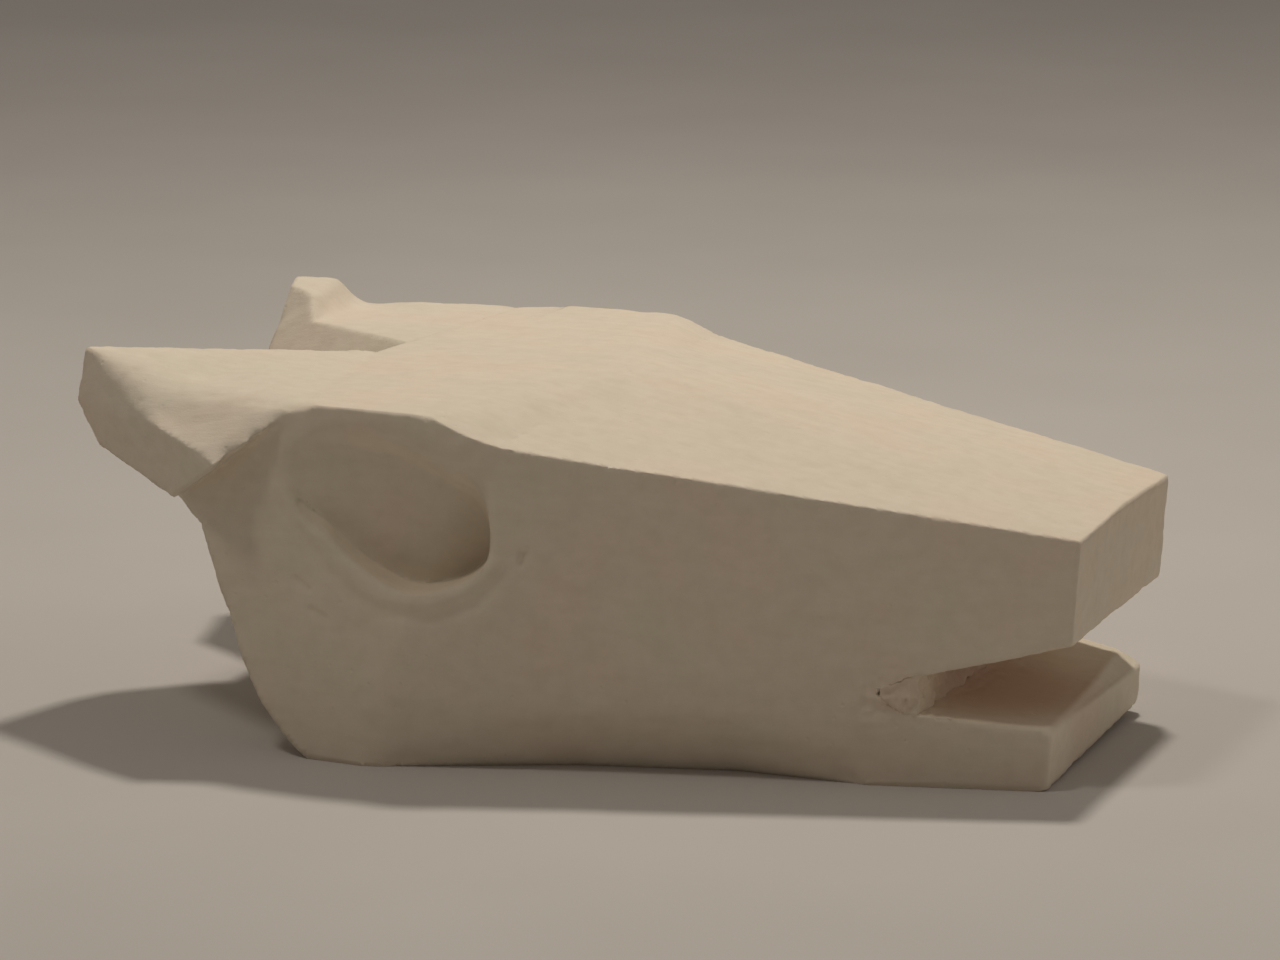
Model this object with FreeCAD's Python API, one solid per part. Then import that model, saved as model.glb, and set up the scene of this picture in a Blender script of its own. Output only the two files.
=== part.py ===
import FreeCAD, Part
import os
from math import acos, atan2, cos, pi, sin

# A faceted animal head in solid plaster, lying on its lower jaw.
#
# Millimetres. +X runs from the ears to the nose, -Y is the animal's right, +Z is up.
# The origin is on the table, under the middle of the head's bounding box.
#
# The head is worked as a carver works it: a slab is sawn to the side profile, mouth included,
# then trimmed by flat cuts, and the eye sockets are scooped out. The masses meet face to face
# on flat bonded joints: the skull on the lower jaw, an ear on each side of the nape, and the
# torn web in the blind end of the mouth.

V = FreeCAD.Vector
REACH = 400.0  # longer than the head in every direction

# Side profile, as X and Z
NOSE_TOP = (115.0, 55.5)
NOSE_BOTTOM = (113.5, 32.5)
MOUTH_ROOF_BACK = (79.5, 24.0)
MOUTH_END = (73.5, 21.0)
MOUTH_FLOOR_BACK = (78.5, 16.6)
CHIN_TOP = (109.5, 13.8)
CHIN_BOTTOM = (108.5, 0.0)
HEEL_REST = (-48.5, 0.0)
HEEL_CURVE = (-58.6, 9.2)
HEEL_BACK = (-66.0, 23.5)
BACK_OF_JAW = (-75.5, 49.5)
NAPE_FOOT = (-85.5, 59.5)
CREST = (-60.5, 78.0)
FOREHEAD_POINT = (2.0, 78.0)
NOSE_CROWN = 1.2

# Corners of the top and of the foot, as X and the half width across Y
BROW_BACK = (-51.5, 65.0)
BROW_FRONT = (-21.0, 66.0)
MUZZLE_CORNER = (-5.0, 64.5)
NOSE_CORNER = (115.0, 33.0)
CHIN_CORNER = (108.5, 33.6)
HEEL_CORNER = (-48.5, 70.5)
MUZZLE_CORNER_Z = 72.0

# Joint of the lower jaw, and the torn web in the mouth
JAW_JOINT_BACK = (-69.0, 30.0)
WEB_LENGTH = 10.0

# Hand-cut slants that are not the same on both sides
LEFT_BROW_Z = 75.3
SLANTED_CREST_Z = 76.4
CHIN_BEVEL_RIGHT = V(109.5, -33.6, 13.4)
CHIN_BEVEL_LEFT_TOP = V(103.0, 34.0, 15.0)
CHIN_BEVEL_LEFT_FRONT = V(109.5, 34.0, 11.0)
CHIN_LIFT_BACK = V(92.0, 0.0, 0.0)
CHIN_LIFT_RIGHT = V(108.5, -33.6, 0.3)
CHIN_LIFT_LEFT = V(108.5, 33.6, 2.2)

# Eye socket: a teardrop beside the cheek and a smaller one on its floor, as X, Z and radius
EYE_FRONT = (-27.5, 57.0, 22.0)
EYE_BACK = (-59.0, 69.5, 10.0)
FLOOR_FRONT = (-21.5, 52.5, 9.0)
FLOOR_BACK = (-36.0, 59.0, 4.0)
EYE_RIM_Y = 74.0  # outside the cheek, so the scoop breaks its surface
EYE_FLOOR_Y = 54.0

# Hollow along the foot of each cheek, as X and the half width; it runs out at both ends
HOLLOW_BACK = (-30.0, 69.0)
HOLLOW_SHOULDER_BACK = (8.0, 59.5)
HOLLOW_SHOULDER_FRONT = (42.0, 50.5)
HOLLOW_FRONT = (68.0, 43.0)
HOLLOW_HEIGHT = 11.0
HOLLOW_DEPTH = 7.0

# Corners of the right ear
EAR_TIP_TOP = V(-114.5, -45.0, 81.8)
EAR_TIP_FOOT = V(-115.0, -48.0, 70.3)
EAR_TIP_BACK = V(-112.0, -36.0, 68.0)
EAR_OUTER_TOP = V(-101.0, -51.6, 81.5)
EAR_OUTER_EDGE = V(-84.2, -66.4, 69.0)
EAR_OUTER_FOOT = V(-71.0, -73.0, 66.0)
EAR_UNDERSIDE = V(-80.4, -66.4, 54.2)
EAR_BELLY = V(-108.5, -48.0, 61.3)
EAR_BELLY_BACK = V(-106.0, -36.0, 60.0)
EAR_MIDDLE = V(-88.0, -50.0, 70.0)
EAR_BLANK = V(120.0, 95.0, 80.0)

# The left ear is cut shorter and thinner, and its top is dished between the tip and the brow
LEFT_TIP_TOP = V(-105.5, 41.5, 81.0)
LEFT_TIP_OUTER = V(-111.0, 60.0, 81.0)
LEFT_TIP_FOOT = V(-110.0, 41.5, 65.0)
LEFT_MIDDLE = V(-88.0, 50.0, 70.0)
LEFT_INNER_TIP = V(-105.7, 41.2, 81.0)
LEFT_INNER_ROOT = V(-65.6, 16.9, 78.0)
LEFT_INNER_FOOT = V(-85.5, 12.0, 59.5)
LEFT_DISH_TIP_X = -98.0
LEFT_DISH_FOOT_X = -94.0

HEART = V(0.0, 0.0, 30.0)  # a point well inside the head
UPRIGHT = V(0.0, 0.0, 10.0)


def profile(point, y=0.0):
    """A point of the side profile."""
    return V(point[0], y, point[1])


def right(corner, z):
    """A corner on the animal's right, at height z."""
    return V(corner[0], -corner[1], z)


def outside(a, b, c, inside):
    """Everything on the far side of the plane through a, b and c, seen from inside."""
    normal = (b - a).cross(c - a)
    if normal.dot(inside - a) > 0:
        normal = normal.negative()
    block = Part.makeBox(REACH, REACH, REACH, V(-REACH / 2.0, -REACH / 2.0, 0.0))
    block.Placement = FreeCAD.Placement(a, FreeCAD.Rotation(V(0.0, 0.0, 1.0), normal))
    return block


def mirrored(shape):
    """The same shape on the animal's left."""
    return shape.mirror(V(0.0, 0.0, 0.0), V(0.0, 1.0, 0.0))


def carve_both_sides(solid, waste):
    """Take a waste piece off the right side, and its mirror image off the left."""
    return solid.cut(waste).cut(mirrored(waste))


def side_slab():
    """The sawn blank: the side profile with the mouth and the rounded heel."""
    nose_crown = (NOSE_TOP[0], NOSE_TOP[1] + NOSE_CROWN)
    points = [HEEL_BACK, BACK_OF_JAW, NAPE_FOOT, CREST, FOREHEAD_POINT, nose_crown, NOSE_BOTTOM]
    points += [MOUTH_ROOF_BACK, MOUTH_END, MOUTH_FLOOR_BACK]
    points += [CHIN_TOP, CHIN_BOTTOM, HEEL_REST]
    sawn = Part.makePolygon([profile(point) for point in points])
    heel = Part.Arc(profile(HEEL_REST), profile(HEEL_CURVE), profile(HEEL_BACK)).toShape()
    face = Part.Face(Part.Wire(sawn.Edges + [heel]))
    face.translate(V(0.0, -REACH / 2.0, 0.0))
    return face.extrude(V(0.0, REACH, 0.0))


def top_waste():
    """What comes off above the right half of the muzzle and the front of the right brow."""
    point = profile(FOREHEAD_POINT)
    nose = right(NOSE_CORNER, NOSE_TOP[1])
    nose_crown = V(NOSE_TOP[0], 0.0, NOSE_TOP[1] + NOSE_CROWN)
    root = right(MUZZLE_CORNER, MUZZLE_CORNER_Z)
    brow = right(BROW_FRONT, CREST[1])
    ahead = outside(point, root, root + UPRIGHT, inside=V(-REACH, 0.0, 0.0))
    behind = outside(point, root, root + UPRIGHT, inside=V(REACH, 0.0, 0.0))
    muzzle = outside(point, nose, root, HEART).fuse(outside(point, nose_crown, nose, HEART))
    slope = outside(point, root, brow, HEART)
    return muzzle.common(ahead).fuse(slope.common(behind))


def cheek_waste():
    """What comes off outside the right cheek and the right side of the muzzle."""
    brow_back = right(BROW_BACK, CREST[1])
    brow_front = right(BROW_FRONT, CREST[1])
    nose = right(NOSE_CORNER, NOSE_TOP[1])
    root = right(MUZZLE_CORNER, MUZZLE_CORNER_Z)
    cheek = outside(brow_back, brow_front, right(HEEL_CORNER, 0.0), HEART)
    muzzle = outside(nose, root, right(CHIN_CORNER, 0.0), HEART)
    return cheek.fuse(muzzle)


def nape_waste():
    """What comes off behind the right half of the crest, where the right ear is bonded on."""
    return outside(profile(CREST), right(BROW_BACK, CREST[1]), profile(NAPE_FOOT), HEART)


def teardrop(front, back, half_width):
    """A closed wire around two circles, each given as X, Z and radius, on the right side."""
    lean = atan2(back[1] - front[1], back[0] - front[0])
    span = ((back[0] - front[0]) ** 2 + (back[1] - front[1]) ** 2) ** 0.5
    opening = acos((front[2] - back[2]) / span)

    def rim(circle, angle):
        x, z, radius = circle
        return V(x + radius * cos(angle), -half_width, z + radius * sin(angle))

    upper = lean - opening
    lower = lean + opening
    front_round = Part.Arc(rim(front, lower), rim(front, lean + pi), rim(front, upper))
    back_round = Part.Arc(rim(back, upper), rim(back, lean), rim(back, lower))
    top = Part.LineSegment(rim(front, upper), rim(back, upper))
    foot = Part.LineSegment(rim(back, lower), rim(front, lower))
    return Part.Wire([edge.toShape() for edge in (front_round, top, back_round, foot)])


def eye_scoop():
    """The right eye socket, a ruled scoop that narrows and slants towards the nose."""
    rim = teardrop(EYE_FRONT, EYE_BACK, EYE_RIM_Y)
    floor = teardrop(FLOOR_FRONT, FLOOR_BACK, EYE_FLOOR_Y)
    return Part.makeLoft([rim, floor], True, True)


def foot_hollow():
    """The hollow along the foot of the right cheek, run out to nothing at both ends."""
    inner = HOLLOW_SHOULDER_BACK[1] - HOLLOW_DEPTH
    inner_back = V(HOLLOW_SHOULDER_BACK[0], -inner, 0.0)
    inner_front = V(HOLLOW_SHOULDER_FRONT[0], HOLLOW_DEPTH - HOLLOW_SHOULDER_FRONT[1], 0.0)
    upper_back = right(HOLLOW_SHOULDER_BACK, HOLLOW_HEIGHT)
    upper_front = right(HOLLOW_SHOULDER_FRONT, HOLLOW_HEIGHT)
    middle = outside(inner_back, inner_front, upper_front, HEART)
    back = outside(right(HOLLOW_BACK, 0.0), inner_back, upper_back, HEART)
    front = outside(right(HOLLOW_FRONT, 0.0), inner_front, upper_front, HEART)
    return middle.common(back).common(front)


def forehead_slant():
    """The last stroke over the forehead, which falls away to the back on the animal's left."""
    left = V(BROW_BACK[0], BROW_BACK[1], LEFT_BROW_Z)
    return outside(right(BROW_BACK, CREST[1]), profile(FOREHEAD_POINT), left, HEART)


def build_head():
    """Skull and lower jaw, still in one mass."""
    head = side_slab()
    for waste in (top_waste(), cheek_waste(), nape_waste(), eye_scoop(), foot_hollow()):
        head = carve_both_sides(head, waste)
    return head.cut(forehead_slant())


def split_at_jaw_joint(head):
    """The skull, and the lower jaw under the joint that runs back from the end of the mouth."""
    end = profile(MOUTH_END)
    below = outside(end, profile(JAW_JOINT_BACK), end + V(0.0, 1.0, 0.0), V(0.0, 0.0, REACH))
    chin_bevel = outside(CHIN_BEVEL_RIGHT, CHIN_BEVEL_LEFT_TOP, CHIN_BEVEL_LEFT_FRONT, HEART)
    chin_lift = outside(CHIN_LIFT_BACK, CHIN_LIFT_RIGHT, CHIN_LIFT_LEFT, HEART)
    lower_jaw = head.common(below).cut(chin_bevel).cut(chin_lift)
    return head.cut(below), lower_jaw


def build_ear():
    """The right ear: a wedge that sweeps back and out from the nape and the brow's corner."""
    crest = V(CREST[0], 0.0, SLANTED_CREST_Z)
    brow = right(BROW_BACK, CREST[1])
    nape = profile(NAPE_FOOT)
    faces = [
        (crest, brow, EAR_TIP_TOP),
        (brow, EAR_OUTER_TOP, EAR_OUTER_FOOT),
        (EAR_TIP_TOP, EAR_TIP_FOOT, EAR_OUTER_EDGE),
        (EAR_TIP_TOP, EAR_TIP_FOOT, EAR_TIP_BACK),
        (EAR_TIP_FOOT, EAR_OUTER_FOOT, EAR_UNDERSIDE),
        (EAR_TIP_FOOT, EAR_BELLY, EAR_BELLY_BACK),
        (nape, EAR_UNDERSIDE, EAR_BELLY),
        (crest, EAR_TIP_TOP, nape),
    ]
    ear = Part.makeBox(EAR_BLANK.x, EAR_BLANK.y, EAR_BLANK.z, EAR_MIDDLE - EAR_BLANK * 0.5)
    for a, b, c in faces:
        ear = ear.cut(outside(a, b, c, EAR_MIDDLE))
    return ear.common(nape_waste())


def build_left_ear():
    """The mirror image of the right ear, with its shorter tip, thinner blade and dished top."""
    ear = mirrored(build_ear())
    tip = outside(LEFT_TIP_TOP, LEFT_TIP_OUTER, LEFT_TIP_FOOT, HEART)
    inner = outside(LEFT_INNER_TIP, LEFT_INNER_ROOT, LEFT_INNER_FOOT, LEFT_MIDDLE)
    rise_top = V(LEFT_DISH_TIP_X, 0.0, EAR_TIP_TOP.z)
    rise_foot = V(LEFT_DISH_FOOT_X, 0.0, LEFT_BROW_Z)
    rise = outside(rise_top, rise_foot, rise_top + V(0.0, 10.0, 0.0), LEFT_TIP_FOOT)
    return ear.cut(tip).cut(inner).cut(forehead_slant().common(rise))


def build_web():
    """The torn plaster left across the blind end of the mouth."""
    front = MOUTH_END[0] + WEB_LENGTH
    roof_slope = (NOSE_BOTTOM[1] - MOUTH_ROOF_BACK[1]) / (NOSE_BOTTOM[0] - MOUTH_ROOF_BACK[0])
    floor_slope = (CHIN_TOP[1] - MOUTH_FLOOR_BACK[1]) / (CHIN_TOP[0] - MOUTH_FLOOR_BACK[0])
    roof_front = (front, MOUTH_ROOF_BACK[1] + roof_slope * (front - MOUTH_ROOF_BACK[0]))
    floor_front = (front, MOUTH_FLOOR_BACK[1] + floor_slope * (front - MOUTH_FLOOR_BACK[0]))
    points = [MOUTH_END, MOUTH_ROOF_BACK, roof_front, floor_front, MOUTH_FLOOR_BACK, MOUTH_END]
    face = Part.Face(Part.makePolygon([profile(point) for point in points]))
    face.translate(V(0.0, -REACH / 2.0, 0.0))
    web = face.extrude(V(0.0, REACH, 0.0))
    return carve_both_sides(web, cheek_waste())


def main():
    skull, lower_jaw = split_at_jaw_joint(build_head())
    nodes = {
        "skull": skull,
        "lower_jaw": lower_jaw,
        "right_ear": build_ear(),
        "left_ear": build_left_ear(),
        "mouth_web": build_web(),
    }
    os.makedirs("parts", exist_ok=True)
    for name, shape in nodes.items():
        print(name, "closed" if shape.isValid() else "broken", round(shape.Volume), "mm3")
        shape.exportStep("parts/" + name + ".step")


main()
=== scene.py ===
# The looks of a hand-carved plaster animal head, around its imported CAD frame.
# One closed skin is made round the CAD masses, softened, carved and worn in numpy, and then cut into
# the named pieces along the planes where the CAD masses meet, so that no joint shows on the surface.
# While it is worked, the skin is in millimetres in the part's frame. Each finished mesh is in metres.

import math

import bmesh
import bpy
import numpy as np
from mathutils import Matrix, Vector


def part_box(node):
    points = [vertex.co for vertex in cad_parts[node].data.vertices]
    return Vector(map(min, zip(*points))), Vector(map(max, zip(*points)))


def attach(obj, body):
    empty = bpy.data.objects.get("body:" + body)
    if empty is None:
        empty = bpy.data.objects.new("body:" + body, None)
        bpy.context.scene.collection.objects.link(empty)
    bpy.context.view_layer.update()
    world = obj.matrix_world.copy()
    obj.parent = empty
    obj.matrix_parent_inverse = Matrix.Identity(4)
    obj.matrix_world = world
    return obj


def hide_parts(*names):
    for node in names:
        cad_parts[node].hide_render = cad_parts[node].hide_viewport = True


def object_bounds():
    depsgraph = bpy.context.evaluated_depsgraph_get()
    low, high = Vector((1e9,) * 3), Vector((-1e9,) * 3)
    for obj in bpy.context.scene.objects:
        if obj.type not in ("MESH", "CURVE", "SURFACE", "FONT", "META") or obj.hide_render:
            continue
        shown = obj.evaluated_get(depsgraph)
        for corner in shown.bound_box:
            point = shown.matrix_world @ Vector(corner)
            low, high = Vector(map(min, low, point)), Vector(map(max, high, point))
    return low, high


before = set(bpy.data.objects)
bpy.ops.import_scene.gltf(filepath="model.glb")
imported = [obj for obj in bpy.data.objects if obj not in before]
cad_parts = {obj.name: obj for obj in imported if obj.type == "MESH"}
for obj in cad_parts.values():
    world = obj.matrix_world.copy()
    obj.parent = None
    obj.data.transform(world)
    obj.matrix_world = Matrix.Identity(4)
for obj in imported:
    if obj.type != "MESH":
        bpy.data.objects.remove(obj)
cad_low, cad_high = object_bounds()

MM = 0.001
BODY = "root"

# Which side of the head each ear is on, the masses inside the skin, and every piece's material.
EAR_SIDES = {"right_ear": -1.0, "left_ear": 1.0}
MASSES = ("skull", "lower_jaw", *EAR_SIDES)
SLOTS = {
    "skull": "plaster",
    "lower_jaw": "plaster",
    "right_ear": "rasped_plaster",
    "left_ear": "rasped_plaster",
    "mouth_web": "torn_plaster",
}

# The camera stands about 1.1 m from the head, in metres, and its lens and sensor are in millimetres.
CAMERA_AT = (0.4129, -1.0141, 0.3117)
CAMERA_TOWARD = (-0.3659, 0.9015, -0.2313)
LENS = 140.6
SENSOR_WIDTH = 36.0

# Each lamp's direction from the origin, its distance and size in metres, and its watts.
LAMP_COLOUR = (1.0, 0.93, 0.83)
LAMPS = {
    "lamp_behind": ((0.013, 0.30, 1.0), 0.97, 0.08, 4.2),
    "lamp_left": ((-0.30, -0.32, 1.0), 1.4, 0.20, 2.1),
    "lamp_front": ((1.0, 0.35, 0.35), 1.2, 0.60, 0.9),
}
HORIZON = (0.06, 0.052, 0.045, 1.0)
ZENITH = (0.24, 0.22, 0.20, 1.0)
FLOOR_RADIUS = 12.0

# Each plaster's colour, and how deep its scrape marks and its grain are, in metres.
PLASTERS = {
    "plaster": ((0.80, 0.71, 0.585), 0.00010, 0.00004),
    "rasped_plaster": ((0.80, 0.715, 0.595), 0.00022, 0.00007),
    "torn_plaster": ((0.77, 0.67, 0.54), 0.00030, 0.00012),
}
PIT_DEPTH = 0.00012

# The darker, redder colour deep in the mouth, in metres: its middle, where it is full, and where it
# ends.
DEEP_MOUTH_MIDDLE = (0.088, -0.008, 0.018)
DEEP_MOUTH_FULL = 0.010
DEEP_MOUTH_END = 0.032

# How far out the side walls stand, in millimetres: at the origin, and per millimetre forward and up.
CHEEK_WALL = (72.092, 0.0328, -0.0692)
MUZZLE_WALL = (61.792, -0.2598, 0.0196)


def box_mm(node):
    """The lowest and highest corner of a CAD node, in millimetres."""
    low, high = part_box(node)
    return np.array(low) / MM, np.array(high) / MM


SKULL_LOW, SKULL_HIGH = box_mm("skull")
JAW_LOW, JAW_HIGH = box_mm("lower_jaw")
WEB_LOW, WEB_HIGH = box_mm("mouth_web")

# Facets that meet at more than this angle have a crisp edge between them.
CRISP_ANGLE = math.radians(12.0)

# How far the ears are sunk into the skull before the masses are joined, and how far behind the bonded
# faces the skin is cut, in millimetres. No part of an ear is ahead of EAR_FOREMOST.
ROOT_OVERLAP = 0.4
CLEAR_OF_NAPE = 0.6
EAR_FOREMOST = -45.0

# The foot is everything up to this height, and it stays flat.
FOOT_TOP = 0.05

# The web's grain in metres, and how far it may reach past its CAD box, in millimetres.
WEB_GRAIN = 0.0005
WEB_OVERLAP = np.array([0.5, 0.0, 0.8])

# Where the mesh is finer, by the eyes and the corners of the mouth: bounds of X, of Z, and the least Y.
FINE_REGIONS = [((-63.0, 0.0), (32.0, 77.0), 45.0), ((70.0, 90.0), (12.0, 28.0), 36.0)]

# Paths on the right side, which are mirrored to the left. X, Y and Z, or X and Z on the cheek.
BROW = SKULL_HIGH[2]
NAPE_SEAM = [(-52.5, -65.5, 77.6), (-66.0, -71.0, 67.5)]
TOP_CREASE = [(-19.0, -63.0, BROW), (1.0, -6.0, BROW - 0.6), (2.0, 0.0, BROW)]
BROW_BEND = [(-23.0, -66.0, BROW), (-3.0, -64.0, BROW - 6.3)]
MUZZLE_SEAM = [(-3.0, -64.0, 66.0), (70.0, -43.5, 3.0)]
FOOT_HOLLOW = [(-33.0, -67.0, 4.0), (8.0, -56.0, 6.0), (42.0, -47.0, 6.0), (68.0, -43.0, 3.0)]
EYE_OUTLINE = [(-54.9, 64.2), (-52.6, 67.6), (-45.1, 72.0), (-34.3, 73.0), (-23.6, 72.1)]
EYE_OUTLINE += [(-16.2, 69.1), (-11.5, 65.0), (-8.0, 60.0), (-6.7, 54.5), (-7.0, 48.0), (-8.9, 44.6)]
EYE_OUTLINE += [(-13.9, 41.2), (-21.7, 38.9), (-28.2, 39.3), (-36.8, 43.9), (-43.2, 49.0)]
EYE_OUTLINE += [(-49.6, 55.6), (-53.9, 61.0)]
EYE_SOFT_RIM = [(-56.0, 62.0), (-54.0, 69.0), (-45.0, 73.5), (-30.0, 74.5), (-16.0, 71.0)]
EYE_GROOVE = [(-61.3, 64.0), (-57.1, 57.5), (-46.6, 44.6), (-39.1, 37.1), (-31.5, 34.5), (-19.7, 34.2)]
EYE_GROOVE += [(-11.0, 37.7), (-4.6, 44.2)]
EYE_LIP = [(-55.0, 58.5), (-43.0, 46.0), (-36.0, 40.3), (-29.0, 37.0), (-20.5, 36.6)]
EYE_LIP += [(-12.0, 39.5), (-7.0, 45.5)]
CHEEK_CREASE = [(-6.6, 66.2), (-2.4, 52.5), (2.5, 43.6), (9.9, 37.8), (12.5, 29.4), (14.5, 20.6)]
MOUTH_TEAR = [(74.0, 20.0), (86.0, 20.0)]

# Small marks on the cheek: the middle in X and Z, half the length in X and Z, and the depth.
SMALL_MARKS = [
    (-0.5, 48.0, 0.2, 1.2, 0.7),
    (-50.5, 38.5, 1.5, -1.0, 0.4),
    (-46.5, 32.5, 1.8, -0.8, 0.4),
]

# The sockets are worked this far out round their outline, further aside than the least Y, and below the
# brow's edge. The points this near to the outline are moved onto it.
EYE_MARGIN = 4.0
EYE_LEAST_Y = 45.0
EYE_CEILING = 76.8
EYE_SNAP = 0.3

# How steep a socket's edge is, how much less so where it is soft, how deep the floor starts by the back
# corner, and how fast it deepens. Per millimetre of depth, it leans back and down under the edge.
EYE_STEEPNESS = 6.0
EYE_SOFTNESS = 5.4
EYE_START = 1.6
EYE_SLOPE = 0.29
EYE_UNDERCUT = np.array([0.24, 0.25])

# Paths on one ear only, the outline in X and Y where the right ear falls away, and the chin's edge.
LEFT_EAR_DISH = [(-94.0, 40.0, 75.2), (-94.0, 62.0, 74.8)]
RIGHT_EAR_SHOULDER = [(-101.0, -52.0, 81.2), (-62.0, -62.5, 78.6)]
RIGHT_EAR_FALL = [(-108.0, -43.0), (-78.4, -19.7), (-55.0, -62.0), (-60.0, -90.0), (-112.0, -90.0)]
CHIN_EDGE = [(109.0, -33.4, 13.6), (107.0, 0.0, 13.4), (104.0, 33.4, 13.8)]

# How far the right ear falls away, over what width, and from what height up over what height.
EAR_FALL = 3.0
EAR_FALL_WIDTH = 26.0
EAR_FALL_START = 66.0
EAR_FALL_HEIGHT = 9.0

# The ears' strokes are behind this.
EAR_STROKES_FRONT = -66.0


# ---------------------------------------------------------------- camera, floor and light


def make_camera():
    """A long lens, a little above the head and off its right front."""
    data = bpy.data.cameras.new("camera")
    data.sensor_width = SENSOR_WIDTH
    data.lens = LENS
    data.clip_start = 0.05
    data.clip_end = 30.0
    camera = bpy.data.objects.new("camera", data)
    bpy.context.scene.collection.objects.link(camera)
    camera.location = CAMERA_AT
    camera.rotation_mode = "QUATERNION"
    camera.rotation_quaternion = Vector(CAMERA_TOWARD).to_track_quat("-Z", "Y")
    bpy.context.scene.camera = camera


def link_mesh(name, bm):
    """A new object from a bmesh, which is freed."""
    mesh = bpy.data.meshes.new(name)
    bm.to_mesh(mesh)
    bm.free()
    thing = bpy.data.objects.new(name, mesh)
    bpy.context.scene.collection.objects.link(thing)
    return thing


def make_floor(material):
    """A round floor that runs out of sight on every side."""
    bm = bmesh.new()
    bmesh.ops.create_circle(bm, cap_ends=True, segments=96, radius=FLOOR_RADIUS)
    floor = link_mesh("floor", bm)
    floor.data.materials.append(material)


def make_lamp(name, toward, distance, size, watts):
    """A round area lamp that shines on the origin from the given direction."""
    data = bpy.data.lights.new(name, "AREA")
    data.shape = "DISK"
    data.size = size
    data.energy = watts
    data.color = LAMP_COLOUR
    lamp = bpy.data.objects.new(name, data)
    bpy.context.scene.collection.objects.link(lamp)
    direction = Vector(toward).normalized()
    lamp.location = direction * distance
    lamp.rotation_mode = "QUATERNION"
    lamp.rotation_quaternion = (-direction).to_track_quat("-Z", "Y")


def make_world():
    """Soft room light: brightest overhead, the grey of a painted wall towards the horizon."""
    world = bpy.data.worlds.new("room")
    bpy.context.scene.world = world
    world.use_nodes = True
    nodes, links = world.node_tree.nodes, world.node_tree.links
    nodes.clear()
    place = nodes.new("ShaderNodeTexCoord")
    split = nodes.new("ShaderNodeSeparateXYZ")
    sky = nodes.new("ShaderNodeValToRGB")
    back = nodes.new("ShaderNodeBackground")
    out = nodes.new("ShaderNodeOutputWorld")
    links.new(place.outputs["Generated"], split.inputs[0])
    links.new(split.outputs["Z"], sky.inputs[0])
    links.new(sky.outputs[0], back.inputs["Color"])
    links.new(back.outputs[0], out.inputs["Surface"])
    sky.color_ramp.elements[0].position = 0.0
    sky.color_ramp.elements[0].color = HORIZON
    sky.color_ramp.elements[1].position = 1.0
    sky.color_ramp.elements[1].color = ZENITH


def make_stage():
    """Set up the camera, the floor and the light."""
    make_camera()
    make_world()
    make_floor(floor_material())
    for name, settings in LAMPS.items():
        make_lamp(name, *settings)
    bpy.context.scene.view_settings.view_transform = "Standard"


# ---------------------------------------------------------------- materials


def new_material(name):
    """A new material, its nodes and its links."""
    material = bpy.data.materials.new(name)
    material.use_nodes = True
    return material, material.node_tree.nodes, material.node_tree.links


def floor_material():
    """A pale matt tabletop with a faint cloudiness and a fine grain."""
    material, nodes, links = new_material("pale_floor")
    shader = nodes["Principled BSDF"]
    shader.inputs["Roughness"].default_value = 0.75
    shader.inputs["Specular IOR Level"].default_value = 0.2
    place = nodes.new("ShaderNodeTexCoord").outputs["Object"]
    cloud = noise(nodes, links, place, 6.0, 3.0)
    tint = ramp(nodes, links, cloud, [(0.3, (0.545, 0.515, 0.485)), (0.7, (0.585, 0.555, 0.525))])
    links.new(tint, shader.inputs["Base Color"])
    grain = noise(nodes, links, place, 900.0, 2.0)
    links.new(bump(nodes, links, grain, 0.00004, 0.5), shader.inputs["Normal"])
    return material


def noise(nodes, links, place, scale, detail, stretch=(1.0, 1.0, 1.0)):
    """A noise output at a real scale, in lumps per metre, which may be stretched along an axis."""
    mapping = nodes.new("ShaderNodeMapping")
    mapping.inputs["Scale"].default_value = stretch
    links.new(place, mapping.inputs["Vector"])
    texture = nodes.new("ShaderNodeTexNoise")
    texture.inputs["Scale"].default_value = scale
    texture.inputs["Detail"].default_value = detail
    texture.inputs["Roughness"].default_value = 0.55
    links.new(mapping.outputs["Vector"], texture.inputs["Vector"])
    return texture.outputs["Fac"]


def ramp(nodes, links, value, stops):
    """A colour for each value, from stops of position and colour."""
    node = nodes.new("ShaderNodeValToRGB")
    elements = node.color_ramp.elements
    while len(elements) < len(stops):
        elements.new(0.5)
    for element, (position, colour) in zip(elements, stops):
        element.position = position
        element.color = (*colour, 1.0)
    links.new(value, node.inputs["Fac"])
    return node.outputs["Color"]


def bump(nodes, links, height, distance, strength, under=None):
    """The normal with a relief of so many metres laid over the one under it."""
    node = nodes.new("ShaderNodeBump")
    node.inputs["Strength"].default_value = strength
    node.inputs["Distance"].default_value = distance
    links.new(height, node.inputs["Height"])
    if under is not None:
        links.new(under, node.inputs["Normal"])
    return node.outputs["Normal"]


def mixed(nodes, links, kind, factor, first, second):
    """Two colours blended. The factor is an output or a number."""
    node = nodes.new("ShaderNodeMix")
    node.data_type = "RGBA"
    node.blend_type = kind
    if isinstance(factor, float):
        node.inputs["Factor"].default_value = factor
    else:
        links.new(factor, node.inputs["Factor"])
    links.new(first, node.inputs["A"])
    links.new(second, node.inputs["B"])
    return node.outputs["Result"]


def deep_mouth_share(nodes, links, place):
    """1 deep in the mouth, where the colour is darker and redder, easing to 0 where that colour ends."""
    gap = nodes.new("ShaderNodeVectorMath")
    gap.operation = "DISTANCE"
    gap.inputs[1].default_value = DEEP_MOUTH_MIDDLE
    links.new(place, gap.inputs[0])
    share = nodes.new("ShaderNodeMapRange")
    share.interpolation_type = "SMOOTHSTEP"
    share.inputs["From Min"].default_value = DEEP_MOUTH_END
    share.inputs["From Max"].default_value = DEEP_MOUTH_FULL
    links.new(gap.outputs["Value"], share.inputs["Value"])
    return share.outputs["Result"]


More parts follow.
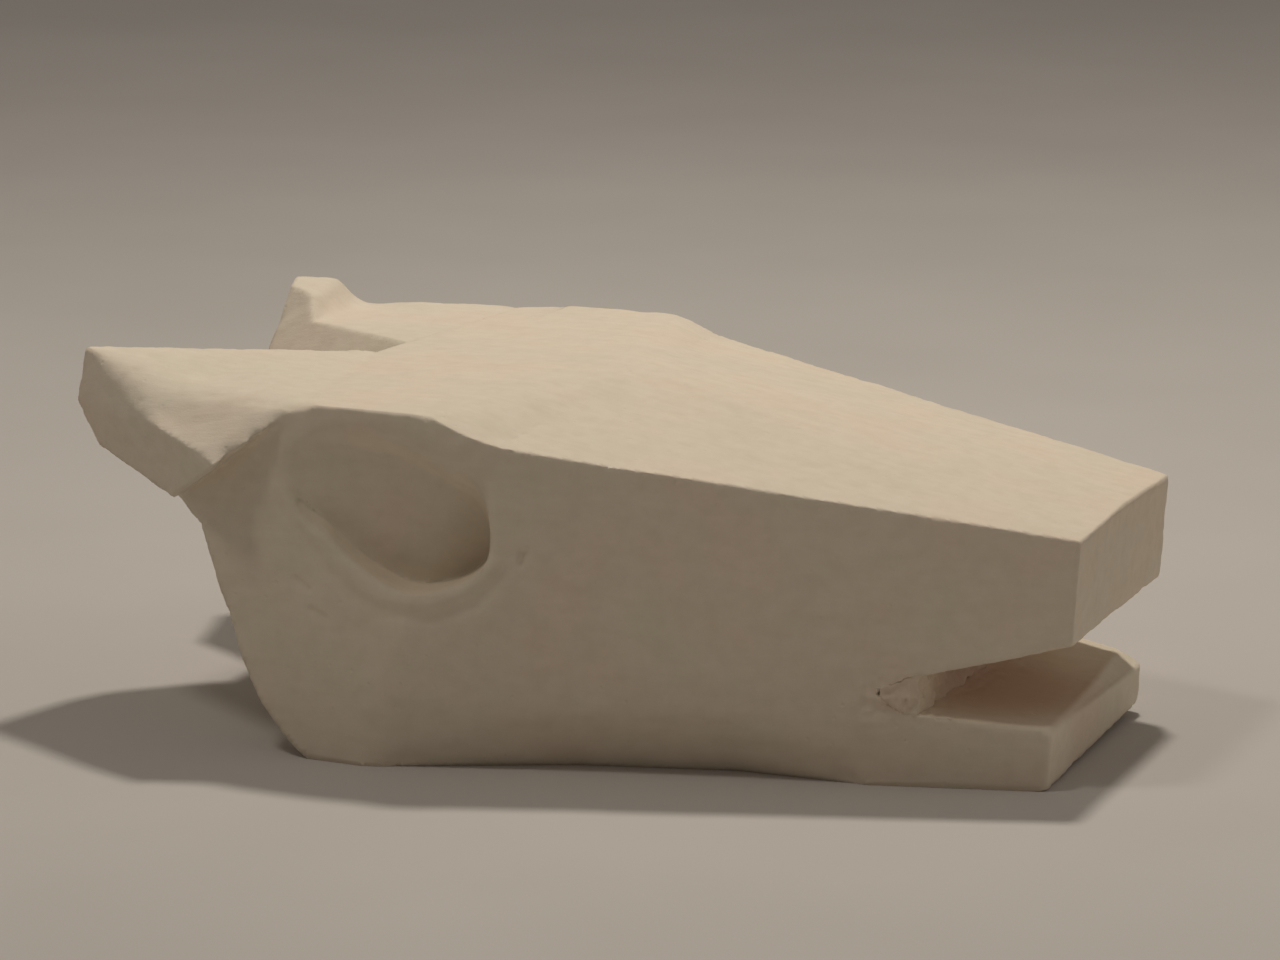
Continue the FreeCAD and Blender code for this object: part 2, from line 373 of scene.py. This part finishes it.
def plaster_material(name, base, coarse_relief, fine_relief):
    """Dry plaster: mottled cream, pitted, with scrape marks along the head, and darker and redder deep
    in the mouth.
    """
    material, nodes, links = new_material(name)
    shader = nodes["Principled BSDF"]
    shader.inputs["Specular IOR Level"].default_value = 0.12
    place = nodes.new("ShaderNodeTexCoord").outputs["Object"]
    red, green, blue = base
    pinkish = (red * 1.012, green * 0.982, blue * 0.975)
    greenish = (red * 0.975, green * 0.988, blue * 0.98)
    patches = noise(nodes, links, place, 38.0, 3.0)
    colour = ramp(nodes, links, patches, [(0.38, greenish), (0.5, base), (0.62, pinkish)])
    speckle = noise(nodes, links, place, 260.0, 4.0)
    shade = ramp(nodes, links, speckle, [(0.3, (0.955, 0.95, 0.94)), (0.6, (1.0, 1.0, 1.0))])
    colour = mixed(nodes, links, "MULTIPLY", 1.0, colour, shade)
    scrape = noise(nodes, links, place, 420.0, 3.0, (0.16, 1.0, 1.0))
    dust = ramp(nodes, links, scrape, [(0.35, (0.972, 0.968, 0.96)), (0.65, (1.0, 1.0, 1.0))])
    colour = mixed(nodes, links, "MULTIPLY", 1.0, colour, dust)
    # A darker, redder plaster colour, mixed in deep in the mouth.
    deep_mouth_colour = ramp(nodes, links, patches, [(0.4, (0.66, 0.495, 0.38)), (0.65, (0.67, 0.52, 0.41))])
    colour = mixed(nodes, links, "MIX", deep_mouth_share(nodes, links, place), colour, deep_mouth_colour)
    links.new(colour, shader.inputs["Base Color"])
    dry = ramp(nodes, links, speckle, [(0.3, (0.95, 0.95, 0.95)), (0.7, (0.84, 0.84, 0.84))])
    links.new(dry, shader.inputs["Roughness"])
    relief = bump(nodes, links, scrape, coarse_relief, 0.6)
    grain = noise(nodes, links, place, 2400.0, 3.0)
    relief = bump(nodes, links, grain, fine_relief, 0.6, relief)
    pits = nodes.new("ShaderNodeTexVoronoi")
    pits.inputs["Scale"].default_value = 240.0
    links.new(place, pits.inputs["Vector"])
    edge = [(0.05, (0.0, 0.0, 0.0)), (0.14, (1.0, 1.0, 1.0))]
    pitted = ramp(nodes, links, pits.outputs["Distance"], edge)
    relief = bump(nodes, links, pitted, PIT_DEPTH, 0.5, relief)
    links.new(relief, shader.inputs["Normal"])
    return material


# ---------------------------------------------------------------- noise and distances


def lattice_noise(points, size, seed):
    """Smooth noise from -1 to 1 whose lumps are about size across. size may differ along X, Y and Z."""
    count = 32
    lattice = np.random.default_rng(seed).uniform(-1.0, 1.0, (count, count, count))
    place = points / np.array(size, float) + 7.3 * seed
    cell = np.floor(place).astype(int)
    part = place - cell
    part = part * part * (3.0 - 2.0 * part)
    total = np.zeros(len(points))
    for corner in np.ndindex(2, 2, 2):
        weight = np.prod(np.where(corner, part, 1.0 - part), axis=1)
        index = (cell + corner) % count
        total += weight * lattice[index[:, 0], index[:, 1], index[:, 2]]
    return total


def rough_noise(points, size, seed, octaves=3):
    """Lattice noise with finer and weaker lumps laid over it."""
    total = np.zeros(len(points))
    for octave in range(octaves):
        total += lattice_noise(points, np.array(size, float) / 2.0**octave, seed + octave) / 2.0**octave
    return total / 1.75


def falloff(distance, radius):
    """1 at no distance, easing to 0 at the radius."""
    share = np.clip(1.0 - distance / radius, 0.0, 1.0)
    return share * share * (3.0 - 2.0 * share)


def chamfered(corners, rounds):
    """A closed outline with its corners cut off again and again, so that it turns smoothly."""
    for _ in range(rounds):
        onward = np.roll(corners, -1, axis=0)
        corners = np.stack([0.75 * corners + 0.25 * onward, 0.25 * corners + 0.75 * onward], axis=1)
        corners = corners.reshape(-1, 2)
    return corners


def depth_inside(points, outline):
    """How far each point is inside a closed outline. Outside it, the distance is negative."""
    inside = np.zeros(len(points), bool)
    for start, end in zip(outline, np.roll(outline, -1, axis=0)):
        spans = (start[1] > points[:, 1]) != (end[1] > points[:, 1])
        rise = end[1] - start[1] if end[1] != start[1] else 1.0
        crossing = start[0] + (points[:, 1] - start[1]) / rise * (end[0] - start[0])
        inside ^= spans & (points[:, 0] < crossing)
    gap = distance_to_path(points, np.vstack([outline, outline[:1]]))
    return np.where(inside, gap, -gap)


def distance_to_path(points, path):
    """How far each point is from a path of straight runs, in two or three dimensions."""
    corners = np.array(path, float)
    nearest = np.full(len(points), np.inf)
    for start, end in zip(corners[:-1], corners[1:]):
        run = end - start
        along = np.clip((points - start) @ run / (run @ run), 0.0, 1.0)
        gap = points - start - along[:, None] * run
        nearest = np.minimum(nearest, np.linalg.norm(gap, axis=1))
    return nearest


# ---------------------------------------------------------------- the skin


def welded(node):
    """A copy of a CAD node as its own object, with the doubled corners merged."""
    bm = bmesh.new()
    bm.from_mesh(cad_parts[node].data)
    bmesh.ops.remove_doubles(bm, verts=bm.verts, dist=1e-6)
    if node in EAR_SIDES:
        sink_root(bm, *nape_joint(node))
    return link_mesh("work_" + node, bm)


def sink_root(bm, point, normal):
    """Move an ear's bonded face a little way into the skull, so that the two overlap."""
    for vert in bm.verts:
        if abs((vert.co / MM - point).dot(normal)) < 0.05:
            vert.co -= normal * ROOT_OVERLAP * MM


def joined_skin():
    """A fine quad mesh of the one closed skin round the CAD masses, with their edges kept sharp."""
    parts = [welded(node) for node in MASSES]
    skull = parts[0]
    for part in parts[1:]:
        union = skull.modifiers.new(part.name, "BOOLEAN")
        union.operation = "UNION"
        union.solver = "EXACT"
        union.object = part
    bm = evaluated(skull)
    bmesh.ops.remove_doubles(bm, verts=bm.verts, dist=5e-5)
    bmesh.ops.dissolve_limit(bm, angle_limit=math.radians(0.4), verts=bm.verts, edges=bm.edges)
    bmesh.ops.triangulate(bm, faces=bm.faces)
    joined = link_mesh("work_joined", bm)
    fine = joined.modifiers.new("fine", "REMESH")
    fine.mode = "SHARP"
    fine.octree_depth = 8
    fine.scale = 0.9
    fine.sharpness = 1.0
    fine.use_remove_disconnected = False
    bm = evaluated(joined)
    for part in parts + [joined]:
        bpy.data.objects.remove(part)
    bmesh.ops.transform(bm, matrix=Matrix.Scale(1.0 / MM, 4), verts=bm.verts)
    mend(bm)
    detailed = [edge for edge in bm.edges if all(in_detail(vert.co) for vert in edge.verts)]
    bmesh.ops.subdivide_edges(bm, edges=detailed, cuts=1, use_grid_fill=True)
    bmesh.ops.triangulate(bm, faces=[face for face in bm.faces if len(face.verts) > 4])
    return bm


def mend(bm):
    """Cut out the few spots where the mesh is folded onto itself, and close the holes."""
    for _ in range(4):
        bad = {vert for edge in bm.edges if not edge.is_manifold for vert in edge.verts}
        if not bad:
            break
        bmesh.ops.delete(bm, geom=list(bad), context="VERTS")
        rims = [edge for edge in bm.edges if edge.is_boundary]
        filled = bmesh.ops.holes_fill(bm, edges=rims, sides=0)
        bmesh.ops.triangulate(bm, faces=filled["faces"])


def in_detail(place):
    """Whether a place is by an eye socket or a torn corner of the mouth, where the mesh is finer."""
    return any(
        back < place.x < front and low < place.z < high and abs(place.y) > aside
        for (back, front), (low, high), aside in FINE_REGIONS
    )


def evaluated(thing):
    """A bmesh of an object with its modifiers applied."""
    bm = bmesh.new()
    bm.from_mesh(thing.evaluated_get(bpy.context.evaluated_depsgraph_get()).data)
    return bm


class Skin:
    """A surface as arrays: points in millimetres, the edges between them, and which are crisp."""

    def __init__(self, bm):
        self.bm = bm
        bm.verts.index_update()
        self.at = np.array([vert.co for vert in bm.verts])
        self.edges = np.array([[vert.index for vert in edge.verts] for edge in bm.edges])
        self.crisp = np.array([edge.calc_face_angle(0.0) > CRISP_ANGLE for edge in bm.edges])

    def normals(self):
        """The unit normal at each point, as the skin is now."""
        self.write()
        self.bm.normal_update()
        return np.array([vert.normal for vert in self.bm.verts])

    def write(self):
        """Put the points back into the mesh."""
        for vert, place in zip(self.bm.verts, self.at):
            vert.co = place

    def soften(self, amount, rounds, melted=None):
        """Let the surface sag to its neighbours. Crisp edges sag along themselves, unless melted."""
        busy = (amount > 0.0)[self.edges].any(axis=1)
        local, edges = np.unique(self.edges[busy], return_inverse=True)
        edges = edges.reshape(-1, 2)
        crisp = self.crisp[busy]
        if melted is not None:
            crisp = crisp & ~melted[self.edges[busy]].all(axis=1)
        at = self.at[local]
        share = 0.5 * amount[local][:, None]
        for _ in range(rounds):
            target, _ = neighbour_mean(at, edges)
            along, on_ridge = neighbour_mean(at, edges[crisp])
            target[on_ridge] = along[on_ridge]
            at += share * (target - at)
        self.at[local] = at

    def ridge_share(self, spread):
        """1 on the crisp edges, fading over so many neighbours."""
        share = np.zeros((len(self.at), 1))
        share[self.edges[self.crisp].ravel()] = 1.0
        for _ in range(spread):
            share = np.maximum(share, neighbour_mean(share, self.edges)[0] * 0.9)
        return share[:, 0]


def neighbour_mean(values, edges):
    """The mean of each point's neighbours along these edges, and whether it has any."""
    ends = np.concatenate([edges[:, 0], edges[:, 1]])
    others = np.concatenate([edges[:, 1], edges[:, 0]])
    count = np.bincount(ends, minlength=len(values))
    sums = [np.bincount(ends, column[others], minlength=len(values)) for column in values.T]
    return np.stack(sums, axis=1) / np.maximum(count, 1)[:, None], count > 0


# ---------------------------------------------------------------- carving


def both_sides(path):
    """A path on the right side and its mirror image."""
    return path, [(x, -y, z) for x, y, z in path]


def near_both(skin, path, radius):
    """How near each point is to a path or its mirror image, from 0 at the radius to 1."""
    right, left = both_sides(path)
    gap = np.minimum(distance_to_path(skin.at, right), distance_to_path(skin.at, left))
    return falloff(gap, radius)


def off_base(skin):
    """False for the flat foot, which stays as it is."""
    return skin.at[:, 2] > FOOT_TOP


def wall(place):
    """How far out the side wall stands at each X and Z, on either side of the head."""
    walls = [out + place @ np.array(slopes) for out, *slopes in (CHEEK_WALL, MUZZLE_WALL)]
    return np.minimum(*walls)


def hollow_eyes(skin):
    """Lay out both eye sockets: a ramp that deepens to the lower front, under an undercut edge."""
    outline = chamfered(np.array(EYE_OUTLINE), 2)
    inside = depth_inside(skin.at[:, [0, 2]], outline)
    on_side = (np.abs(skin.at[:, 1]) > EYE_LEAST_Y) & (skin.at[:, 2] < EYE_CEILING)
    working = (inside > -EYE_MARGIN) & on_side
    skin.crisp &= ~working[skin.edges].any(axis=1)
    skin.soften(working * 1.0, 60, melted=working)
    place = snapped(skin.at[working][:, [0, 2]], outline)
    depth = socket_depth(place, depth_inside(place, outline))
    out = np.sign(skin.at[working, 1]) * (wall(place) - depth)
    place = place - depth[:, None] * EYE_UNDERCUT
    skin.at[working] = np.stack([place[:, 0], out, place[:, 1]], axis=1)


def snapped(place, outline):
    """The places, with those next to the outline moved onto it, so that its edge is clean."""
    step = 0.02
    inside = depth_inside(place, outline)
    aside = depth_inside(place + [step, 0.0], outline) - inside
    upward = depth_inside(place + [0.0, step], outline) - inside
    onto = -inside[:, None] * np.stack([aside, upward], axis=1) / step
    return place + onto * (np.abs(inside) < EYE_SNAP)[:, None]


def socket_depth(place, inside):
    """How deep the socket is, from its ramp and from how far inside its outline each place is."""
    soft = falloff(distance_to_path(place, EYE_SOFT_RIM), 18.0)
    rounding = 0.35 + 5.0 * soft
    edge = (EYE_STEEPNESS - EYE_SOFTNESS * soft) * 0.5 * (inside + np.hypot(inside, rounding))
    slope = EYE_START + EYE_SLOPE * (0.80 * (place[:, 0] + 50.0) - 0.60 * (place[:, 1] - 70.0))
    slope = np.maximum(slope, 0.4) + 0.25 * lattice_noise(np.c_[place, place[:, :1]], 9.0, 41)
    depth = 0.5 * (edge + slope - np.hypot(edge - slope, 1.6))
    return np.maximum(depth, 0.0) * falloff(np.maximum(-inside, 0.0), EYE_MARGIN)


def blend_facets(skin):
    """Round the seams between the facets of the brow, the muzzle and the foot."""
    crease = near_both(skin, TOP_CREASE, 13.0)
    middle = np.abs(skin.at[:, 1]) < 62.0
    skin.soften(crease * middle, 140, melted=middle)
    skin.soften(near_both(skin, BROW_BEND, 12.0), 120)
    skin.soften(near_both(skin, MUZZLE_SEAM, 9.0) * off_base(skin), 40)
    foot = near_both(skin, FOOT_HOLLOW, 15.0) * off_base(skin)
    skin.soften(foot, 60, melted=skin.at[:, 2] > 0.6)


def melt(skin, path, radius, rounds):
    """Round everything near a path, with its crisp edges."""
    share = falloff(distance_to_path(skin.at, path), radius)
    skin.soften(share, rounds, melted=share > 0.0)


def blend_ears(skin):
    """Shape the ears' tops, the outer part of the right one lower, and round the seams to the cheeks."""
    melt(skin, LEFT_EAR_DISH, 9.0, 50)
    fall = depth_inside(skin.at[:, :2], np.array(RIGHT_EAR_FALL)) / EAR_FALL_WIDTH
    upper = np.clip((skin.at[:, 2] - EAR_FALL_START) / EAR_FALL_HEIGHT, 0.0, 1.0)
    skin.at[:, 2] -= EAR_FALL * falloff(1.0 - np.clip(fall, 0.0, 1.0), 1.0) * upper
    seam = near_both(skin, NAPE_SEAM, 5.0)
    skin.crisp &= ~(seam > 0.0)[skin.edges].all(axis=1)
    skin.soften(seam, 50)
    melt(skin, RIGHT_EAR_SHOULDER, 12.0, 110)


def wear(skin):
    """Take the hardness off every edge."""
    everywhere = np.full(len(skin.at), 0.6) * off_base(skin)
    skin.soften(everywhere, 2)
    skin.soften(0.6 * everywhere, 1, melted=off_base(skin))


def mark_sides(skin, normals):
    """Grooves, creases and small marks on the cheeks, as a push along the normal."""
    place = skin.at[:, [0, 2]]
    push = np.zeros(len(skin.at))
    on_side = np.abs(normals[:, 1]) > 0.5
    uneven = 0.7 + 0.6 * lattice_noise(skin.at, 7.0, 11)
    push -= 0.5 * uneven * falloff(distance_to_path(place, EYE_GROOVE), 3.2)
    push += 0.35 * falloff(distance_to_path(place, EYE_LIP), 4.0)
    push -= 0.3 * uneven * falloff(distance_to_path(place, CHEEK_CREASE), 4.0)
    for x, z, along_x, along_z, depth in SMALL_MARKS:
        mark = [(x - along_x, z - along_z), (x + along_x, z + along_z)]
        push -= depth * falloff(distance_to_path(place, mark), 1.3)
    return push * on_side


def mark_mouth(skin, normals):
    """The dished floor of the mouth behind the chin's edge, and the crumbled corners, as a push."""
    x, y, z = skin.at.T
    floor = (normals[:, 2] > 0.6) & (z < 24.0) & (x > WEB_HIGH[0] - 1.0)
    lip = falloff(distance_to_path(skin.at, CHIN_EDGE), 2.0)
    push = -1.2 * floor * (1.0 - lip) * falloff(np.hypot((x - 95.0) / 22.0, y / 60.0), 1.0)
    torn = falloff(distance_to_path(skin.at[:, [0, 2]], MOUTH_TEAR), 9.0)
    crumbs = 0.7 * rough_noise(skin.at, 3.0, 51) + 0.5 * lattice_noise(skin.at, 1.4, 54)
    return push + torn * (crumbs - 0.35)


def mark_ears(skin, normals):
    """The short slanting strokes of the blade and the rasp on the two ears, as a push."""
    x, y, z = skin.at.T
    slant = np.stack([0.80 * x + 0.60 * z, y, 0.80 * z - 0.60 * x], axis=1)
    inner = np.clip(-normals[:, 1] - 0.2, 0.0, 0.4) / 0.4 * (y > 0.0) * falloff(x + 112.0, 40.0)
    push = 0.45 * inner * lattice_noise(slant, (16.0, 30.0, 2.8), 61)
    outer = (x < EAR_STROKES_FRONT) & (y < 0.0) & (normals[:, 2] > 0.2)
    push += outer * (0.22 * rough_noise(slant, (9.0, 9.0, 4.5), 63))
    end = (x < EAR_STROKES_FRONT) & (normals[:, 0] < -0.5)
    return push + 0.2 * end * rough_noise(skin.at, 5.0, 66)


def tool_marks(skin, normals):
    """The wavering of a hand-held blade and rasp, as a push along the normal."""
    upward = np.clip(normals[:, 2], 0.0, 1.0)
    sideways = np.abs(normals[:, 1])
    push = 0.28 * lattice_noise(skin.at, 26.0, 1) + 0.10 * lattice_noise(skin.at, 9.0, 2)
    push += 0.07 * upward * lattice_noise(skin.at, (55.0, 5.0, 30.0), 3)
    push += 0.07 * sideways * lattice_noise(skin.at, (30.0, 30.0, 6.0), 4)
    return push + 0.035 * rough_noise(skin.at, 2.6, 5)


def ragged_edges(skin):
    """How far chips and crumbs are out of the crisp edges."""
    on_edge = skin.ridge_share(1)
    fine = np.clip(rough_noise(skin.at, 2.4, 21) + 0.15, 0.0, None)
    chips = np.clip(lattice_noise(skin.at, 3.7, 22) - 0.5, 0.0, None)
    torn = 1.0 + 2.5 * falloff(distance_to_path(skin.at[:, [0, 2]], MOUTH_TEAR), 8.0)
    return on_edge * (0.34 * fine + 0.5 * chips) * torn


def carve():
    """The whole skin, carved and worn, inside the box of the CAD."""
    skin = Skin(joined_skin())
    hollow_eyes(skin)
    blend_facets(skin)
    blend_ears(skin)
    melt(skin, CHIN_EDGE, 2.4, 8)
    wear(skin)
    normals = skin.normals()
    push = mark_sides(skin, normals) + mark_mouth(skin, normals) + mark_ears(skin, normals)
    push += tool_marks(skin, normals) - ragged_edges(skin)
    moved = skin.at + normals * (push * off_base(skin))[:, None]
    skin.at = np.clip(moved, np.array(cad_low) / MM, np.array(cad_high) / MM)
    return skin


def make_torn_web():
    """Make the web across the end of the mouth slot: a bar torn and crumbled on every side."""
    bar = welded("mouth_web")
    fine = bar.modifiers.new("fine", "REMESH")
    fine.mode = "VOXEL"
    fine.voxel_size = WEB_GRAIN
    bm = evaluated(bar)
    bpy.data.objects.remove(bar)
    bmesh.ops.transform(bm, matrix=Matrix.Scale(1.0 / MM, 4), verts=bm.verts)
    web = Skin(bm)
    web.soften(np.ones(len(web.at)), 12, melted=np.full(len(web.at), True))
    hollows = np.clip(rough_noise(web.at, 3.4, 31) + 0.25, 0.0, None)
    crumbs = lattice_noise(web.at, 1.2, 35)
    normals = web.normals()
    bonded = np.clip(np.abs(normals[:, 2]) + np.clip(-normals[:, 0], 0.0, 1.0), 0.0, 1.0)
    web.at += normals * (1.3 * bonded - 0.2 - 0.8 * hollows - 0.5 * crumbs)[:, None]
    upper = np.clip((web.at[:, 2] - WEB_LOW[2]) / (WEB_HIGH[2] - WEB_LOW[2]), 0.0, 1.0)
    slit = np.clip(0.2 + lattice_noise(web.at, 2.6, 38), 0.0, None)
    web.at[:, 2] -= 1.3 * (upper - 0.4) * slit
    ahead = np.clip((web.at[:, 0] - WEB_LOW[0] - 4.0) / 6.0, 0.0, 1.0)
    web.at[:, 0] -= ahead * (1.2 + 1.4 * rough_noise(web.at * [0.0, 1.0, 1.0], 4.0, 71))
    web.at = np.clip(web.at, WEB_LOW - WEB_OVERLAP, WEB_HIGH + WEB_OVERLAP)
    web.write()
    bmesh.ops.transform(bm, matrix=Matrix.Scale(MM, 4), verts=bm.verts)
    for face in bm.faces:
        face.smooth = True
    finished("mouth_web", bm)


# ---------------------------------------------------------------- pieces


def cut(bm, faces, point, normal):
    """Cut some faces of the mesh along a plane, and leave both halves in it."""
    edges = {edge for face in faces for edge in face.edges}
    verts = {vert for face in faces for vert in face.verts}
    bmesh.ops.bisect_plane(
        bm, geom=list(verts) + list(edges) + list(faces), dist=1e-4, plane_co=point, plane_no=normal
    )


def jaw_joint():
    """A point of the plane between skull and lower jaw, and its normal, upward."""
    back = Vector((JAW_LOW[0], 0.0, JAW_HIGH[2]))
    front = Vector((WEB_LOW[0], 0.0, SKULL_LOW[2]))
    run = front - back
    return front, Vector((-run.z, 0.0, run.x)).normalized()


def nape_joint(node):
    """A point of the plane between an ear and the skull, and its normal, backward."""
    best = max(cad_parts[node].data.polygons, key=lambda face: face.normal.dot((0.6, 0.0, -0.8)))
    return Vector(best.center) / MM, -Vector(best.normal)


def part_off(skin):
    """Cut the skin into the finished pieces, along the planes between the CAD masses."""
    bm = skin.bm
    skin.write()
    jaw = jaw_joint()
    cut(bm, bm.faces, *jaw)
    napes = {}
    for node, side in EAR_SIDES.items():
        point, normal = nape_joint(node)
        napes[node] = (point + normal * CLEAR_OF_NAPE, normal)
        cut(bm, [face for face in bm.faces if by_ear(face, side)], *napes[node])
    bm.normal_update()
    shares = {node: [] for node in MASSES}
    for face in bm.faces:
        name = "skull" if beyond(face, *jaw) else "lower_jaw"
        for node, side in EAR_SIDES.items():
            if by_ear(face, side) and beyond(face, *napes[node]):
                name = node
        shares[name].append(face)
    joints = [jaw, *napes.values()]
    for node, faces in shares.items():
        capped_piece(node, faces, joints)
    bm.free()


def by_ear(face, side):
    """Whether a face is on this side of the head, far enough back to belong to the ear."""
    middle = face.calc_center_median()
    return middle.x < EAR_FOREMOST and middle.y * side > 1.0


def beyond(face, point, normal):
    """Whether a face is on the side of the plane that its normal points to."""
    return (face.calc_center_median() - point).dot(normal) > 0.0


def capped_piece(name, faces, joints):
    """Make one piece: its share of the skin, shaded as the whole skin is, with flat caps."""
    made = bmesh.new()
    verts = {}
    normals = []
    for face in faces:
        for vert in face.verts:
            if vert not in verts:
                verts[vert] = made.verts.new(vert.co)
        made.faces.new([verts[vert] for vert in face.verts]).smooth = True
        normals += [tuple(vert.normal) for vert in face.verts]
    for point, normal in joints:
        rim = [edge for edge in made.edges if edge.is_boundary and in_plane(edge, point, normal)]
        if rim:
            outward = normal if name == "lower_jaw" or (name == "skull" and normal.x < 0.0) else -normal
            bmesh.ops.triangle_fill(made, edges=rim, use_beauty=True, normal=outward)
    made.faces.ensure_lookup_table()
    for face in made.faces[len(faces) :]:
        normals += [(0.0, 0.0, 0.0)] * len(face.verts)
    bmesh.ops.transform(made, matrix=Matrix.Scale(MM, 4), verts=made.verts)
    finished(name, made).data.normals_split_custom_set(normals)


def finished(name, bm):
    """A piece's mesh as an object that stands in for its CAD node and rides on the body."""
    thing = link_mesh(name + "_piece", bm)
    thing.data.materials.append(materials[SLOTS[name]])
    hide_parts(name)
    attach(thing, BODY)
    return thing


def in_plane(edge, point, normal):
    """Whether both ends of an edge are in a plane."""
    return all(abs((vert.co - point).dot(normal)) < 0.01 for vert in edge.verts)


# ---------------------------------------------------------------- making it


materials = {name: plaster_material(name, *look) for name, look in PLASTERS.items()}
part_off(carve())
make_torn_web()
make_stage()
